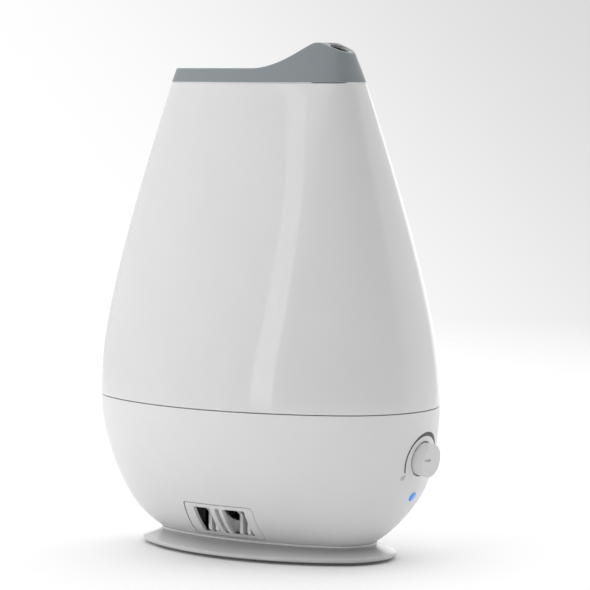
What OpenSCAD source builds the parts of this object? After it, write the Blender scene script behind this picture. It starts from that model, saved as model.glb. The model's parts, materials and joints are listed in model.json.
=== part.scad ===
// Cool mist humidifier: a flattened teardrop body in three lift-apart
// sections. A base on a flared foot holds the ultrasonic mist generator, a
// small blower and the control knob. A water tank stands on it with a mist
// tube through its middle, and a lid with an angled mist outlet closes the top.
// The front, with the knob, faces -Y. The origin is on the floor at the centre.

/* [Body] */
// Half length of the body, front to back, at its widest level
belly_half = 112.1; // [111.5:0.1:113]
// How much shorter the half width is than the half length, at every level
oval_slack = 43.5; // [43:0.1:44]
// Radius of the rounded front and rear ends at the lid's outlet
nose_r = 10.5; // [10:0.1:11]
// How fast that radius grows with the half length further down
nose_growth = 0.854; // [0.84:0.002:0.86]
// Wall thickness of the moulded shells
wall = 2.8; // [2.6:0.1:3]
// Height of the joint between base and tank
seam_z = 91.5; // [91:0.1:92]
// Gap that shows between the sections
seam_gap = 0.5; // [0.4:0.1:0.7]

/* [Foot] */
// Half length of the foot's rim
rim_half = 86.3; // [86:0.1:87]
// How much shorter the rim's half width is than its half length
foot_slack = 39; // [38:0.5:40]
// Height of the rubber pads under the rim
pad_h = 2; // [1.8:0.1:2.2]
// Half length at the neck between foot and base
neck_half = 72.3; // [72:0.1:73]
// Height of the neck
neck_z = 9.4; // [9.2:0.1:9.6]

/* [Tank] */
// Half length at the top of the tank
crown_half = 67.2; // [67:0.1:67.5]
// Height of the joint between tank and lid
crown_z = 281; // [280:0.5:282]
// Height of the tank's welded floor plate
floor_z = 98; // [97.5:0.5:99]
// Outer radius of the mist tube
tube_r = 12; // [11.8:0.1:12.2]
// Distance of the mist tube in front of the middle
mist_y = 44; // [43:0.5:45]
// Distance of the filler cap behind the middle
fill_y = 34; // [33:0.5:35]

/* [Lid] */
// Height of the lid's low rear deck
deck_top_z = 289.6; // [289.4:0.1:290.6]
// Height of the lid's crest in front
crest_z = 304.7; // [304.2:0.1:305]
// Tilt of the mist outlet towards the front, in degrees
outlet_tilt = 21; // [20:0.5:22]
// Radius of the outlet hole in the lid
outlet_r = 7.15; // [7:0.05:7.2]

/* [Controls] */
// Height of the knob's axis at the wall
knob_z = 63.3; // [62:0.1:65]
// Radius of the knob
knob_r = 9.8; // [9.4:0.1:9.8]
// How far the knob's face stands out of the wall
knob_out = 6.5; // [5:0.5:6.5]
// Downward tilt of the knob's axis, in degrees
knob_tilt = 7.5; // [6:0.5:9]
// Height of the indicator lens
lens_z = 40.5; // [39:0.5:42]
// Radius of the indicator lens
lens_r = 3; // [2.5:0.1:3.2]

/* [Mist generator] */
// Radius of the piezo disc
disc_r = 10; // [9.5:0.1:10.2]
// Travel of the low-water float
float_travel = 6; // [5:0.5:6]
// Travel of the tank valve
valve_travel = 4; // [3:0.5:4]

/* [Cord inlet] */
// Radius of the gland's bore for the mains lead
gland_bore_r = 3.6; // [3.2:0.1:4]
// Height of the gland
gland_z = 62; // [60:0.5:64]

/* [Hidden] */

shell_white = "whitesmoke";
metal = "silver";
eps = 0.05;

outlet_half = 61;
outlet_at = [0, -51.8, 301.7];
arc_steps = 12;

// Points of each profile, [half length, height]
base_bottom = neck_z;
base_top = seam_z - seam_gap / 2;
tank_bottom = seam_z + seam_gap / 2;
lid_bottom = crown_z + 0.3;
base_curve = [[neck_half, base_bottom], [neck_half + 37.4, 30], [belly_half, seam_z - 8], [belly_half, base_top]];
tank_curve = [[belly_half, tank_bottom], [belly_half, 121], [crown_half + 41.2, 156], [crown_half, crown_z]];
lid_curve = [[crown_half, lid_bottom], [65.4, 286.5], [61.6, 296], [57.2, crest_z + 1.8]];

// Inside levels of the base
deck_z = 80;
deck_rim_z = 95;
basin_z = 62.4;
well_z = 56.4;
legs = [[-20, -24], [20, -24], [-17, 38], [17, 38]];
board_holes = [[-8, 12], [8, 12], [-8, 54], [8, 54]];
float_y = -6;
float_rest_z = 63.4;
float_h = 6;
float_stop_z = float_rest_z + float_h + float_travel + 0.4;
// Lower end of the tank valve while the tank stands on the base, and its post
valve_z = 72 + valve_travel;
post_z = valve_z - 0.3;

// Blower: centre height, half size and the walls it lies between
fan_z = 33.5;
fan_half = 19;
fan_x = [-31, -16];
duct_y = [-19, -1];

knob_y = half_at(base_curve, knob_z);
lens_y = half_at(base_curve, lens_z);
lens_tilt = lean_at(base_curve, lens_z);

function bezier(p, t) =
    pow(1 - t, 3) * p[0] + 3 * pow(1 - t, 2) * t * p[1] + 3 * (1 - t) * t * t * p[2] + t * t * t * p[3];
function curve(p, n) = [for (i = [0:n]) bezier(p, i / n)];
// Half length of a profile at a height, found by halving the curve
function half_at(p, z, lo = 0, hi = 1, n = 20) =
    let (mid = (lo + hi) / 2, q = bezier(p, mid))
    n == 0 ? q.x : q.y < z ? half_at(p, z, mid, hi, n - 1) : half_at(p, z, lo, mid, n - 1);
// Angle by which the wall leans outwards at a height
function lean_at(p, z) = atan2(half_at(p, z + 1) - half_at(p, z - 1), 2);
function arc(centre, r, from, to) =
    [for (i = [0:arc_steps - 1]) let (a = from + (to - from) * i / arc_steps) centre + r * [cos(a), sin(a)]];
// Outline of the body at a half length: four arcs that meet without a corner
function oval(half, slack = oval_slack) = let (
    nose = nose_r + nose_growth * (half - outlet_half),
    end_y = half - nose,
    side_x = slack * (2 * end_y - slack) / (2 * (end_y - slack)),
    side_r = nose + norm([end_y, side_x]),
    s = atan2(end_y, side_x))
    concat(arc([-side_x, 0], side_r, -s, s), arc([0, end_y], nose, s, 180 - s),
        arc([side_x, 0], side_r, 180 - s, 180 + s), arc([0, -end_y], nose, 180 + s, 360 - s));

module slab(half, low, high) translate([0, 0, low]) linear_extrude(high - low) polygon(oval(half));

// Solid through the ovals of a profile, each point [half length, height] or [.., .., slack]
module loft(profile) {
    rings = len(profile);
    sides = 4 * arc_steps;
    points = [for (k = [0:rings - 1]) let (p = profile[k])
        for (q = oval(p.x, len(p) > 2 ? p[2] : oval_slack)) [q.x, q.y, p.y]];
    walls = [for (k = [0:rings - 2]) for (i = [0:sides - 1])
        let (a = k * sides, j = (i + 1) % sides)
        each [[a + i, a + sides + i, a + j], [a + j, a + sides + i, a + sides + j]]];
    bottom = [for (i = [0:sides - 1]) i];
    top = [for (i = [sides - 1:-1:0]) (rings - 1) * sides + i];
    polyhedron(points, concat(walls, [bottom, top]));
}
function inset(profile, d) = [for (p = profile) [p.x - d, p.y]];
module cup_ring(outer, inner, low, high) translate([0, 0, low]) difference() {
    cylinder(r = outer, h = high - low, $fn = 64);
    translate([0, 0, -1]) cylinder(r = inner, h = high - low + 2, $fn = 64);
}
module at_mist() translate([0, -mist_y, 0]) children();
module at_fill() translate([0, fill_y, 0]) children();
module at_legs() for (p = legs) translate(p) children();
module at_board_holes() for (p = board_holes) translate(p) children();
// Local +Z points out of the wall along the knob's axis
module at_knob() translate([0, -knob_y, knob_z]) rotate([90 + knob_tilt, 0, 0]) children();
module at_lens() translate([0, -lens_y, lens_z]) rotate([90 + lens_tilt, 0, 0]) children();
module at_gland() translate([0, 0, gland_z]) rotate([-90, 0, 0]) children();
module at_outlet() translate(outlet_at) rotate([outlet_tilt, 0, 0]) children();
module block(low, high) translate(low) cube(high - low);
module screw(r, length, head_r, head_h) {
    cylinder(r = r, h = length, $fn = 24);
    translate([0, 0, -head_h]) cylinder(r = head_r, h = head_h, $fn = 32);
}

// ---- Base ----

// Outline of the intake panel in the side wall, seen from the side
panel_z = [11.8, 33.5];
panel_top = [-23.5, 23.5];
panel_bottom = [-22, 28.5];
slot_z = [14, 30.3];
slot_lean = 2.4;
slots = [[-18.6, -3.6], [-0.8, 2.2], [5.3, 17.8]];
module panel_prism(gap = 0) rotate([90, 0, -90]) linear_extrude(80) offset(delta = gap) polygon([
    [-panel_top[1], panel_z[1]], [-panel_top[0], panel_z[1]],
    [-panel_bottom[0], panel_z[0]], [-panel_bottom[1], panel_z[0]]]);

module base_shell() color(shell_white) difference() {
    profile = curve(base_curve, 9);
    inner = inset(profile, wall);
    union() {
        difference() {
            loft(profile);
            loft(concat([inner[0] - [1, 1]], inner, [inner[9] + [0, 1]]));
        }
        // Cup behind the knob
        at_knob() translate([0, 0, -7]) cylinder(r = knob_r + 2.5, h = 4.6, $fn = 64);
    }
    at_knob() translate([0, 0, -5]) cylinder(r = knob_r + 0.5, h = 12, $fn = 64);
    at_knob() translate([0, 0, -9]) cylinder(r = 3.6, h = 6, $fn = 48);
    at_lens() translate([0, 0, -8]) cylinder(r = lens_r + 0.1, h = 12, $fn = 48);
    at_gland() translate([0, 0, 95]) cylinder(r = 7.1, h = 20, $fn = 48);
    panel_prism(0.3);
}

module foot() color(shell_white) {
    profile = [[rim_half, pad_h, foot_slack], [rim_half, pad_h + 1.6, foot_slack], [rim_half - 3.5, 5.2, foot_slack],
        [neck_half + 6.7, 6.8, 40], [neck_half + 3.3, 8.2, 42], [neck_half + 1.7, 8.8], [neck_half + 1.7, neck_z]];
    under = [[rim_half - 3, pad_h - 1, foot_slack], [rim_half - 4.5, 3.4, foot_slack], [77, 4.8, 41], [70.5, 6.2]];
    difference() {
        union() {
            difference() {
                loft(profile);
                loft(under);
            }
            for (x = [-16, 16], y = [-60, 60]) translate([x, y, pad_h]) cylinder(r = 6.5, h = 5, $fn = 48);
        }
        for (x = [-16, 16], y = [-60, 60]) translate([x, y, pad_h - 1]) cylinder(r = 3, h = 3, $fn = 32);
        at_legs() translate([0, 0, 5]) cylinder(r = 1.7, h = 6, $fn = 24);
        at_board_holes() translate([0, 0, 6]) cylinder(r = 1.2, h = 6, $fn = 24);
    }
    at_board_holes() translate([0, 0, neck_z]) difference() {
        cylinder(r = 3, h = 24 - neck_z, $fn = 32);
        translate([0, 0, 4]) cylinder(r = 1.2, h = 20, $fn = 24);
    }
}

module rubber_feet() color("dimgray") for (x = [-16, 16], y = [-60, 60]) translate([x, y, 0]) {
    cylinder(r1 = 5, r2 = 5.6, h = pad_h, $fn = 48);
    translate([0, 0, pad_h]) cylinder(r = 3, h = 1.8, $fn = 32);
}

module base_screws() color(metal) at_legs() translate([0, 0, 6.2]) screw(1.5, 16, 3.2, 2);

module intake_grille() color(shell_white) {
    profile = curve(base_curve, 9);
    difference() {
        intersection() {
            difference() {
                loft(profile);
                loft(concat([inset(profile, wall)[0] - [1, 1]], inset(profile, wall)));
            }
            panel_prism();
        }
        for (s = slots) translate([-30, 0, 0]) rotate([90, 0, -90]) linear_extrude(60) polygon([
            [-s[0], slot_z[1]], [-s[1], slot_z[1]],
            [-s[1] - slot_lean, slot_z[0]], [-s[0] - slot_lean, slot_z[0]]]);
    }
    // Deep ribs behind the slots, with flared tops
    intersection() {
        loft(inset(profile, 1));
        union() {
            for (y = [-11.7, -6.2, 11.5, 16.5]) translate([0, y + 1.1, 0]) rotate([90, 0, 0]) linear_extrude(2.2)
                polygon([[-32.6, 12.4], [-36.4, 12.4], [-36.4, 26], [-40, 29], [-48, 31], [-46, 33], [-33, 31.5]]);
            block([-36.4, -21, 12.4], [-32.6, 21, 13.8]);
            block([-48, -21, 30.6], [-33.2, 21, 32]);
        }
    }
}

module deck() color(shell_white) difference() {
    union() {
        slab(107.6, deck_z - 3, deck_z);
        difference() {
            slab(108, deck_z - 1, deck_rim_z);
            slab(106, deck_z - 0.5, deck_rim_z + 1);
        }
        at_mist() translate([0, 0, well_z - 2.4]) cylinder(r = 26, h = deck_z - well_z, $fn = 96);
        at_fill() translate([0, 0, basin_z - 2.4]) cylinder(r = 31, h = deck_z - basin_z, $fn = 96);
        block([-10, -mist_y, basin_z - 2.4], [10, fill_y, deck_z - 1]);
        block([fan_x[0], duct_y[0], 56], [fan_x[1], duct_y[1], deck_z - 1]);
        for (p = legs) translate([p.x, p.y, neck_z]) cylinder(r = 4, h = (p.y < 0 ? deck_z : basin_z) - 1 - neck_z, $fn = 48);
    }
    at_mist() translate([0, 0, well_z]) cylinder(r = 23.6, h = 30, $fn = 96);
    at_fill() translate([0, 0, basin_z]) difference() {
        cylinder(r = 28.6, h = 30, $fn = 96);
        // Post that lifts the tank valve
        translate([0, 0, -1]) cylinder(r = 3.5, h = post_z - basin_z + 1, $fn = 48);
    }
    difference() {
        block([-7.6, -mist_y, basin_z], [7.6, fill_y - 20, deck_z + 1]);
        translate([0, float_y, 0]) {
            cylinder(r = 2, h = float_stop_z + 0.2, $fn = 48);
            cylinder(r = 3.4, h = float_rest_z - 0.2, $fn = 48);
        }
    }
    block([fan_x[0] + 1.6, duct_y[0] + 1.6, 50], [fan_x[1] - 1.6, duct_y[1] - 1.6, deck_z + 1]);
    at_mist() translate([0, 0, 50]) cylinder(r = disc_r - 1.2, h = 20, $fn = 64);
    at_mist() for (a = [30:120:270]) rotate(a) translate([14.8, 0, 50]) cylinder(r = 1.2, h = 5.4, $fn = 24);
    at_legs() translate([0, 0, neck_z - 1]) cylinder(r = 1.5, h = 15, $fn = 24);
}

// Hood that leads the blower's air over the water and carries the mist port
module air_hood() color(shell_white) difference() {
    union() {
        at_mist() translate([0, 0, deck_z]) cylinder(r = 26, h = 13, $fn = 96);
        block([-33, -34, deck_z], [-6, 1, deck_z + 13]);
        at_mist() translate([0, 0, deck_z]) cylinder(r = 9.6, h = 21, $fn = 64);
    }
    at_mist() translate([0, 0, deck_z - 1]) cylinder(r = 24.2, h = 12.2, $fn = 96);
    block([-31.2, -34, deck_z - 1], [-6 - 1.8, -0.8, deck_z + 11.2]);
    at_mist() translate([0, 0, deck_z - 1]) cylinder(r = 8, h = 30, $fn = 64);
}

// ---- Blower: its axis runs along X ----

module at_fan(x) translate([x, 0, fan_z]) rotate([0, 90, 0]) children();
fan_screw_at = [[16.5, 16.5], [16.5, -16.5], [-16.5, -16.5]];

module fan_housing() color("gainsboro") difference() {
    union() {
        block([fan_x[0] + 1.6, -fan_half, fan_z - fan_half], [fan_x[1], fan_half, fan_z + fan_half]);
        block([fan_x[0], duct_y[0], fan_z + fan_half - 1], [fan_x[1], duct_y[1], 56]);
        for (y = [-16, 10]) block([-25, y, neck_z], [-19, y + 6, fan_z - fan_half + 1]);
    }
    at_fan(fan_x[0]) cylinder(r = 17, h = 13.4, $fn = 96);
    block([fan_x[0] + 1.6, duct_y[0] + 1.6, fan_z], [fan_x[1] - 1.6, duct_y[1] - 1.6, 57]);
    for (p = fan_screw_at) translate([fan_x[0], p.x, fan_z + p.y]) rotate([0, 90, 0]) cylinder(r = 1.1, h = 12, $fn = 24);
}

module fan_cover() color("gainsboro") difference() {
    block([fan_x[0], -fan_half, fan_z - fan_half], [fan_x[0] + 1.6, fan_half, fan_z + fan_half - 1]);
    at_fan(fan_x[0] - 1) cylinder(r = 12, h = 4, $fn = 64);
    for (p = fan_screw_at) translate([fan_x[0] - 1, p.x, fan_z + p.y]) rotate([0, 90, 0]) cylinder(r = 1.3, h = 4, $fn = 24);
}

module fan_screws() color(metal) for (p = fan_screw_at)
    translate([fan_x[0], p.x, fan_z + p.y]) rotate([0, 90, 0]) screw(1.1, 11, 2.2, 1.2);

module fan_motor() color("dimgray") {
    at_fan(-21) cylinder(r = 6.8, h = 3.4, $fn = 64);
    at_fan(-27) cylinder(r = 1, h = 7, $fn = 32);
}

module fan_impeller() color("lightsteelblue") difference() {
    union() {
        at_fan(-28) cylinder(r = 8.6, h = 9.4, $fn = 64);
        for (a = [0:30:330]) at_fan(-28) rotate(a) translate([8, -0.5, 0]) rotate(20) cube([7, 1, 9.4]);
        at_fan(-20) difference() {
            cylinder(r = 15.6, h = 1.2, $fn = 96);
            translate([0, 0, -1]) cylinder(r = 8, h = 4, $fn = 64);
        }
    }
    at_fan(-24) cylinder(r = 7.4, h = 8, $fn = 64);
    at_fan(-30) cylinder(r = 1.05, h = 10, $fn = 32);
}

// ---- Ultrasonic transducer, clamped under the mist well ----

module transducer_disc() color("khaki") at_mist() translate([0, 0, 52.2]) cylinder(r = disc_r, h = 0.8, $fn = 96);

module transducer_seal() color("dimgray") at_mist() rotate_extrude($fn = 96) polygon([
    [disc_r - 1.2, 51.2], [12.5, 51.2], [12.5, 54], [disc_r - 1.2, 54],
    [disc_r - 1.2, 53], [disc_r, 53], [disc_r, 52.2], [disc_r - 1.2, 52.2]]);

module transducer_ring() color("tan") at_mist() difference() {
    translate([0, 0, 49.4]) cylinder(r = 17.4, h = 4.6, $fn = 96);
    translate([0, 0, 51.2]) cylinder(r = 12.5, h = 4, $fn = 96);
    translate([0, 0, 48]) cylinder(r = 8, h = 4, $fn = 64);
    for (a = [30:120:270]) rotate(a) translate([14.8, 0, 48]) cylinder(r = 1.2, h = 8, $fn = 24);
}

module transducer_screws() color(metal) at_mist() for (a = [30:120:270])
    rotate(a) translate([14.8, 0, 49.4]) screw(1.2, 5.6, 2.2, 1.2);

// ---- Electronics ----

module driver_board() color("seagreen") difference() {
    union() {
        block([-12, 8, 24], [12, 60, 25.6]);
        for (p = [[6, 22], [6, 34]]) translate([p.x, p.y, 25.6]) cylinder(r = 4, h = 12, $fn = 48);
        block([-10, 36, 25.6], [-3, 42, 30]);
    }
    at_board_holes() translate([0, 0, 20]) cylinder(r = 1.5, h = 10, $fn = 24);
}

module heat_sink() color(metal) {
    block([-6, 12, 25.6], [-4, 34, 48]);
    for (y = [12:4:32]) block([-4, y, 27], [0, y + 1.2, 48]);
}

module power_transistor() color("black") block([-10.4, 18, 27], [-6, 28, 42]);

module transformer() color("goldenrod") {
    block([-9, 44, 25.6], [9, 52, 42]);
    block([-11, 45.5, 29], [11, 50.5, 39]);
}

module control_board() color("seagreen") difference() {
    block([-15, -88.6, 38], [15, -87, 76]);
    for (x = [-12, 12]) translate([x, -90, 41]) rotate([-90, 0, 0]) cylinder(r = 1.5, h = 5, $fn = 24);
}

module control_pot() color("slategray") at_knob() difference() {
    union() {
        translate([0, 0, -14.5]) cylinder(r = 8.2, h = 7.5, $fn = 64);
        translate([0, 0, -8]) cylinder(r = 3.5, h = 5.4, $fn = 48);
    }
    translate([0, 0, -12]) cylinder(r = 3.06, h = 12, $fn = 48);
}

module pot_nut() color(metal) at_knob() translate([0, 0, -5]) difference() {
    cylinder(r = 5.6, h = 2, $fn = 6);
    translate([0, 0, -1]) cylinder(r = 3.5, h = 4, $fn = 48);
}

module pot_shaft() color(metal) at_knob() translate([0, 0, -11.8]) cylinder(r = 3, h = 15.6, $fn = 48);

module control_knob() color("gainsboro") at_knob() difference() {
    rotate_extrude($fn = 96) polygon(concat(
        [[0, -3.4], [knob_r, -3.4], [knob_r - 0.25, knob_out - 1.5]],
        [for (a = [15:15:90]) [knob_r - 1.75 + 1.5 * cos(a), knob_out - 1.5 + 1.5 * sin(a)]],
        [[0, knob_out]]));
    translate([0, 0, -4]) difference() {
        cylinder(r = knob_r - 1.8, h = knob_out + 2, $fn = 96);
        translate([0, 0, 1.8]) cylinder(r = 4.6, h = 10, $fn = 48);
    }
    translate([0, 0, -4]) cylinder(r = 3, h = 7.8, $fn = 48);
    // Pointer groove, towards the minimum setting
    translate([-4.8, -0.45, knob_out - 0.5]) cube([4.6, 0.9, 1]);
}

module led_lens() color("dodgerblue") at_lens() {
    translate([0, 0, -4]) cylinder(r = lens_r, h = 4, $fn = 64);
    translate([0, 0, -5]) cylinder(r = lens_r + 0.9, h = 1.2, $fn = 64);
    intersection() {
        translate([0, 0, 0.6 - 8]) sphere(r = 8, $fn = 96);
        translate([0, 0, -eps]) cylinder(r = lens_r, h = 1, $fn = 64);
    }
}

module led_lamp() color("aliceblue") at_lens() {
    translate([0, 0, -10.6]) cylinder(r = 2.5, h = 5.4, $fn = 48);
    translate([0, 0, -11.6]) cylinder(r = 2.9, h = 1, $fn = 48);
}

module cord_gland() color("gainsboro") at_gland() difference() {
    union() {
        translate([0, 0, 94]) cylinder(r = 7, h = 18.4, $fn = 64);
        translate([0, 0, 110.2]) cylinder(r = 8, h = 2.2, $fn = 64);
    }
    translate([0, 0, 93]) cylinder(r = gland_bore_r, h = 21, $fn = 64);
}

module gland_nut() color(metal) at_gland() translate([0, 0, 98]) difference() {
    cylinder(r = 10, h = 3, $fn = 6);
    translate([0, 0, -1]) cylinder(r = 7, h = 5, $fn = 64);
}

// ---- Low-water float ----

module at_float() translate([0, float_y, 0]) children();

module float() color("white") at_float() translate([0, 0, float_rest_z]) difference() {
    cylinder(r = 7, h = float_h, $fn = 64);
    translate([0, 0, -1]) cylinder(r = 2.3, h = float_h + 2, $fn = 48);
    cup_ring(5.2, 3.4, float_h - 3, float_h + 1);
}

module float_magnet() color("dimgray") at_float() cup_ring(5.2, 3.4, float_rest_z + float_h - 3, float_rest_z + float_h);

module float_cap() color("gainsboro") at_float() difference() {
    translate([0, 0, float_stop_z]) cylinder(r = 3.8, h = 2, $fn = 48);
    translate([0, 0, float_stop_z - 0.8]) cylinder(r = 2, h = 1, $fn = 48);
}

module reed_switch() color("lightgreen") translate([0, float_y, 58.6]) rotate([90, 0, 0])
    translate([0, 0, -7]) cylinder(r = 1.3, h = 14, $fn = 32);

// ---- Tank ----

module tank_shell() color(shell_white) difference() {
    profile = curve(tank_curve, 10);
    inner = [for (p = inset(profile, wall)) if (p.y < crown_z - wall) p];
    roof = [half_at(tank_curve, crown_z - wall) - wall, crown_z - wall];
    loft(profile);
    loft(concat([inner[0] - [0, 1]], inner, [roof]));
    at_mist() translate([0, 0, crown_z - 5]) cylinder(r = tube_r, h = 10, $fn = 96);
}

module tank_floor() color(shell_white) difference() {
    union() {
        slab(half_at(tank_curve, floor_z + 2.5) - wall - 0.1, floor_z, floor_z + 2.5);
        at_fill() translate([0, 0, 88]) cylinder(r = 21.5, h = 11, $fn = 96);
        at_fill() for (a = [0:120:240]) rotate(a) translate([20.6, -3, 93]) cube([1.3, 6, 1.6]);
    }
    at_fill() translate([0, 0, 80]) cylinder(r = 19, h = 30, $fn = 96);
    at_mist() translate([0, 0, 90]) cylinder(r = tube_r, h = 20, $fn = 96);
}

module mist_tube() color(shell_white) at_mist() cup_ring(tube_r, tube_r - 1.6, floor_z, crown_z);

module tank_cap() color("gainsboro") at_fill() difference() {
    union() {
        translate([0, 0, 83]) cylinder(r = 24.4, h = 14, $fn = 96);
        for (a = [0:15:345]) rotate(a) translate([23.6, -0.8, 84]) cube([1.6, 1.6, 12]);
    }
    translate([0, 0, 86]) cylinder(r = 22.2, h = 14, $fn = 96);
    translate([0, 0, 80]) cylinder(r = 2.25, h = 10, $fn = 48);
    for (a = [0:60:300]) rotate(a) translate([5.4, 0, 80]) cylinder(r = 1.6, h = 10, $fn = 24);
}

module cap_gasket() color("dimgray") at_fill() cup_ring(22.2, 18.8, 86, 88);

module valve_plunger() color("gainsboro") at_fill() {
    translate([0, 0, valve_z]) cylinder(r = 5.5, h = 1.5, $fn = 48);
    translate([0, 0, valve_z + 1]) cylinder(r = 2.2, h = 15.2, $fn = 48);
    translate([0, 0, valve_z + 16]) cylinder(r = 9.4, h = 1.6, $fn = 64);
}

module valve_seal() color("dimgray") at_fill() cup_ring(9.4, 7.6, valve_z + 14.3, valve_z + 16);

// Compression spring under the cap, swept along its helix
spring_low = valve_z + 1.9;
spring_high = 82.6;
spring_turns = 4;
spring_steps = 18;
spring_sides = 6;
spring_wire = 0.4;
function helix(i) = let (t = i / spring_steps) [
    3.4 * cos(360 * t), 3.4 * sin(360 * t), spring_low + (spring_high - spring_low) * t / spring_turns];
module valve_spring() color(metal) at_fill() {
    last = spring_turns * spring_steps;
    rim = [for (i = [0:last]) let (c = helix(i), out = [c.x, c.y, 0] / 3.4)
        for (k = [0:spring_sides - 1]) let (a = 360 * k / spring_sides)
            c + spring_wire * (cos(a) * out + sin(a) * [0, 0, 1])];
    sides = [for (i = [0:last - 1]) for (k = [0:spring_sides - 1])
        let (n = (k + 1) % spring_sides, a = i * spring_sides, b = a + spring_sides) [a + k, b + k, b + n, a + n]];
    polyhedron(rim, concat(sides, [[for (k = [0:spring_sides - 1]) k],
        [for (k = [spring_sides - 1:-1:0]) last * spring_sides + k]]));
}

// ---- Lid ----

// Point of the side view where the crest meets the outlet's plane
slope_start = [-47, outlet_at.z + (-47 - outlet_at.y) * tan(outlet_tilt)];
// Side view of the space under the lid's top surface
module under_crest(drop = 0) translate([-100, 0, -drop]) rotate([90, 0, 90]) linear_extrude(200) polygon(concat(
    [[110, 260], [110, deck_top_z]],
    curve([[-1, deck_top_z], [-23.5, deck_top_z], [-36, crest_z], [-41.5, crest_z]], 12),
    curve([[-41.5, crest_z], [-43.7, crest_z], [-44.8, slope_start.y + 2.2 * tan(outlet_tilt)], slope_start], 4),
    [[-110, slope_start.y - (110 + slope_start.x) * tan(outlet_tilt)], [-110, 260]]));

module top_lid() color("slategray") difference() {
    profile = curve(lid_curve, 6);
    inner = [for (p = inset(profile, 2.4)) if (p.y < 296) p];
    intersection() {
        loft(profile);
        under_crest();
    }
    intersection() {
        loft(concat([inner[0] + [0, -1]], inner));
        under_crest(2.4);
    }
    at_outlet() translate([0, 0, -30]) cylinder(r = outlet_r, h = 40, $fn = 64);
}

// White elbow: plugs into the mist tube and lines the lid's outlet
module mist_nozzle() color("white") difference() {
    union() {
        at_outlet() translate([0, 0, -13]) cylinder(r = outlet_r - 0.05, h = 12.6, $fn = 64);
        at_mist() translate([0, 0, 276]) cylinder(r = tube_r - 2, h = 12, $fn = 64);
    }
    at_outlet() translate([0, 0, -18]) cylinder(r = outlet_r - 0.65, h = 36, $fn = 64);
    at_mist() translate([0, 0, 275]) cylinder(r = tube_r - 3.4, h = 11.5, $fn = 64);
}

base_shell();
foot();
rubber_feet();
base_screws();
intake_grille();
deck();
air_hood();
fan_housing();
fan_cover();
fan_screws();
fan_motor();
fan_impeller();
transducer_disc();
transducer_seal();
transducer_ring();
transducer_screws();
driver_board();
heat_sink();
power_transistor();
transformer();
control_board();
control_pot();
pot_nut();
pot_shaft();
control_knob();
led_lens();
led_lamp();
cord_gland();
gland_nut();
float();
float_magnet();
float_cap();
reed_switch();
tank_shell();
tank_floor();
mist_tube();
tank_cap();
cap_gasket();
valve_plunger();
valve_seal();
valve_spring();
top_lid();
mist_nozzle();
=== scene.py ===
"""Looks of the cool mist humidifier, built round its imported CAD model.

The shape functions work in millimetres, as the part's source does, and make() turns them into metres.
"""
import json
import math

import bmesh
import bpy
from mathutils import Matrix, Vector
from mathutils.bvhtree import BVHTree


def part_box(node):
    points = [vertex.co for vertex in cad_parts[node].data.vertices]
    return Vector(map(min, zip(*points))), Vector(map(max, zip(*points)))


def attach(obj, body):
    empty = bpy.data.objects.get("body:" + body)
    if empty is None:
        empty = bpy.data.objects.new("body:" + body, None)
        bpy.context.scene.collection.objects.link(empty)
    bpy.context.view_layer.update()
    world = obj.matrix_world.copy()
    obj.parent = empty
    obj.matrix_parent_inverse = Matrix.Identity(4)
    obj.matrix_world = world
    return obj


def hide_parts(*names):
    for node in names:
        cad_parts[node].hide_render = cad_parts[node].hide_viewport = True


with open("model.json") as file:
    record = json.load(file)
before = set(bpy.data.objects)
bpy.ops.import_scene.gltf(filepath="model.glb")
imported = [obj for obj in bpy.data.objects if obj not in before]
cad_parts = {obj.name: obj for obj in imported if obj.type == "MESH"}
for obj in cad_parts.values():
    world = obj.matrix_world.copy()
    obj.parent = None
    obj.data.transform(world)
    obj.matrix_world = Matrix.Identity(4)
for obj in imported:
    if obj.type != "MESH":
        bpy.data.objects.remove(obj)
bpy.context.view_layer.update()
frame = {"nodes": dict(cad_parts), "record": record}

MM = 0.001
UP = Vector((0, 0, 1))


def low(node):
    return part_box(node)[0] / MM


def high(node):
    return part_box(node)[1] / MM


# ---- Driving sizes, from the frame where it has them ----

WALL = 2.8
# An outline's half width is its half length less the slack. The radius of its ends is NOSE_R at a
# half length of NOSE_HALF, and grows with the half length
SLACK = 43.5
NOSE_R = 10.5
NOSE_HALF = 61
NOSE_GROWTH = 0.854

NECK_Z = low("base_shell").z
BASE_TOP = high("base_shell").z
TANK_LOW = low("tank_shell").z
CROWN_Z = high("tank_shell").z
LID_LOW = low("top_lid").z
CREST_Z = high("top_lid").z
BELLY = high("tank_shell").y
CROWN_HALF = high("top_lid").y
NECK_HALF = CROWN_HALF + 5.1
RIM_HALF = high("foot").y
PAD_H = low("foot").z

# Side profiles as (half length, Z), control points of one curve each
BASE_CURVE = [(NECK_HALF, NECK_Z), (NECK_HALF + 37.4, 30), (BELLY, BASE_TOP - 7.75), (BELLY, BASE_TOP)]
TANK_CURVE = [(BELLY, TANK_LOW), (BELLY, 121), (CROWN_HALF + 41.2, 156), (CROWN_HALF, CROWN_Z)]
LID_CURVE = [(CROWN_HALF, LID_LOW), (65.4, 286.5), (61.6, 296), (57.2, CREST_Z + 1.8)]

OUTLET = Vector((0, -51.8, 301.7))
OUTLET_TILT = math.radians(21)
OUTLET_R = 7.15
LID_TOP = 289.6
LID_WALL = 2.4

KNOB_Z = 63.3
KNOB_TILT = math.radians(7.5)
KNOB_R = 9.8
KNOB_OUT = 6
KNOB_BACK = -3.4
KNOB_GAP = 0.8
WELL_FLOOR = -5
BUSH_R = 3.6
LENS_Z = 40.5
LENS_R = 3
GLAND_R = 7
GLAND_Z = (low("cord_gland").z + high("cord_gland").z) / 2
MIST_Y = -44


# ---- Curves ----


def bezier(p, t):
    """Point of a cubic or quadratic curve."""
    p = [Vector(q) for q in p]
    while len(p) > 1:
        p = [a.lerp(b, t) for a, b in zip(p, p[1:])]
    return p[0]


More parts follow.
